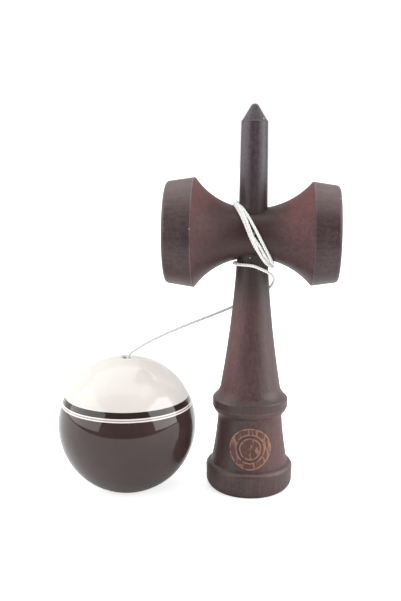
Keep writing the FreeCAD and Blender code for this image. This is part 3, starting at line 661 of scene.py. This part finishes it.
# Three points ease the cord's bend out of the hole and round its edge, on to the winding.
HOLE_STEPS = ((0, 0, 0), (0, -2.8, 0), (1.25, -4.58, -1.72))
hole_start = Vector((0, -6.6 * MM, SARADO_HEIGHT))
out_of_hole = [hole_start + Vector(step) * MM for step in HOLE_STEPS]
wound_controls = out_of_hole + winding_points()[1:] + neck_points() + free_points()
wound_path = follow(wound_controls, 0.32 * MM)
winding = twisted_cord("string_wound", wound_path)
winding.data.materials.append(cord_finish)
PIVOT = Vector((-3.265, 8.549, 81.105)) * MM
way_out = (free_points()[1] - LEAVES_HANDLE).normalized()
PIVOT + way_out * 2.0 * MM
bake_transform(winding)
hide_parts("string_lashing", "string_free")

# The stretch that goes from the handle into the double cup is drawn out of the handle as the double
# cup slides up.
core_controls = [Vector((0, y * MM, SARADO_HEIGHT)) for y in (2.3, 1.0, -2.0, -5.0, -8.3)]
core = twisted_cord("string_core_run", follow(core_controls, 0.1 * MM))
core.data.materials.append(cord_finish)
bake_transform(core)
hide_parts("string_core")

# The stretch inside the ball goes down to the bead, and shortens as the bead is pulled up.
inner_controls = [BALL_TOP + Vector((0, 0, z * MM)) for z in (-3.8, -9.0, -15.0, -22.6)]
inner = twisted_cord("string_inner_run", follow(inner_controls, 0.3 * MM))
inner.data.materials.append(cord_finish)
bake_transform(inner)
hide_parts("string_in_tama")

# Both ends of the cord are pulled-down overhand knots, one in the handle's pocket behind the cord
# hole, and one under the bead in the ball. Pulled tight, the cord is a little thinner in them.
KNOT_POINTS = 96
KNOT_SIZE = 0.42
KNOT_DEPTH = 1.35
KNOT_CORD_RADIUS = 0.62 * MM


def overhand_knot(name, centre, along, node):
    """A tight overhand knot: the cord crosses itself three times round the way that it runs."""
    course = []
    for step in range(KNOT_POINTS):
        turn = 2 * math.pi * step / KNOT_POINTS
        x = math.sin(turn) + 2 * math.sin(2 * turn)
        y = math.cos(turn) - 2 * math.cos(2 * turn)
        course.append(Vector((x, y, -KNOT_DEPTH * math.sin(3 * turn))) * KNOT_SIZE * MM)
    course.append(course[0].copy())
    turned = Vector((0, 0, 1)).rotation_difference(Vector(along)).to_matrix()
    knot = twisted_cord(name, [centre + turned @ place for place in course], KNOT_CORD_RADIUS)
    knot.data.materials.append(cord_finish)
    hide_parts(node)
    return knot


ken_low, ken_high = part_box("ken_knot")
ken_knot = overhand_knot("ken_knot_tied", (ken_low + ken_high) / 2, (0, 1, 0), "ken_knot")
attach(ken_knot, "ken")
bead_low, bead_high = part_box("bead_knot")
bead_knot = overhand_knot("bead_knot_tied", (bead_low + bead_high) / 2, (0, 0, 1), "bead_knot")
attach(bead_knot, "bead")

# The toy stands on a plain white sheet on a table, in a light tent: a lamp panel at each side, one
# overhead, and a darker opening in front, where the camera is. The sheet ends in front of the toy,
# and that shows only in the toy's gloss.
FLOOR_REACH = 4.0
SHEET_WHITE = (0.9, 0.9, 0.9, 1)
TABLE_DIM = (0.12, 0.11, 0.11, 1)
BLACK, WHITE = (0, 0, 0, 1), (1, 1, 1, 1)
floor_mesh = bpy.data.meshes.new("table")
ways = ((-1, -1), (1, -1), (1, 1), (-1, 1))
corners = [(x * FLOOR_REACH, y * FLOOR_REACH, 0.0) for x, y in ways]
floor_mesh.from_pydata(corners, [], [(0, 1, 2, 3)])
floor = bpy.data.objects.new("table", floor_mesh)
bpy.context.scene.collection.objects.link(floor)
floor_finish, shader, place = new_finish("table_white")
shader.inputs["Roughness"].default_value = 1.0
shader.inputs["Specular IOR Level"].default_value = 0.0
seen = place.node("LightPath", {}, output=0)
mirrored = place.node("LightPath", {}, output=3)
past_sheet = mirrored * place.axis(BACK).rise(-0.26, -0.29)
past_sheet.blend(SHEET_WHITE, TABLE_DIM).into(shader, "Base Color")
seen.blend(BLACK, WHITE).into(shader, "Emission Color")
shader.inputs["Emission Strength"].default_value = 0.7
floor_mesh.materials.append(floor_finish)

world = bpy.data.worlds.new("tent")
bpy.context.scene.world = world
world.use_nodes = True
backdrop = world.node_tree.nodes["Background"]
backdrop.inputs["Color"].default_value = WHITE
rays = Shade(world.node_tree)
seen = rays.node("LightPath", {}, output=0)
mirrored = rays.node("LightPath", {}, output=3)
direction = rays.node("TexCoord", {}, output=0)
tent = direction.axis(BACK).rise(-0.75, 0.35) * 0.78 + 0.22
strength = seen + (1.0 - seen) * tent * (0.95 - 0.05 * mirrored)
strength.into(backdrop, "Strength")


def lamp_panel(name, place, aim, width, height, level):
    """A soft rectangular lamp of a given brightness, which the camera doesn't see."""
    lamp = bpy.data.lights.new(name, "AREA")
    lamp.shape = "RECTANGLE"
    lamp.size = width
    lamp.size_y = height
    lamp.energy = level * math.pi * width * height
    panel = bpy.data.objects.new(name, lamp)
    panel.location = place
    panel.rotation_euler = (Vector(aim) - Vector(place)).to_track_quat("-Z", "Y").to_euler()
    panel.visible_camera = False
    bpy.context.scene.collection.objects.link(panel)


lamp_panel("panel_left", (-0.95, -0.5, 0.42), (0, -0.5, 0.09), 1.6, 0.8, 2.1)
lamp_panel("panel_right", (0.95, -0.25, 0.42), (0, -0.25, 0.09), 1.1, 0.8, 3.0)
lamp_panel("panel_top", (-0.2, 0.15, 1.1), (-0.2, 0.15, 0.0), 1.8, 1.3, 1.22)

# The camera stands a little above the toy, at arm's length, and looks slightly down and to the
# left. Its place and aim come from where the pieces' outlines lie in the photograph.
SENSOR = 36.0
FOCAL_PIXELS = 850
FRAME_PIXELS = 601
EYE_PLACE = Vector((4.52, -357.15, 151.3)) * MM
camera = bpy.data.cameras.new("camera")
camera.sensor_width = SENSOR
camera.lens = FOCAL_PIXELS / FRAME_PIXELS * SENSOR
eye = bpy.data.objects.new("camera", camera)
bpy.context.scene.collection.objects.link(eye)
right = Vector((0.9972, 0.0747, 0.0057)).normalized()
forward = Vector((-0.0727, 0.9794, -0.1886)).normalized()
axes = Matrix((right, right.cross(forward), -forward)).transposed().to_4x4()
eye.matrix_world = Matrix.Translation(EYE_PLACE) @ axes
bpy.context.scene.camera = eye
bpy.context.scene.view_settings.view_transform = "Standard"
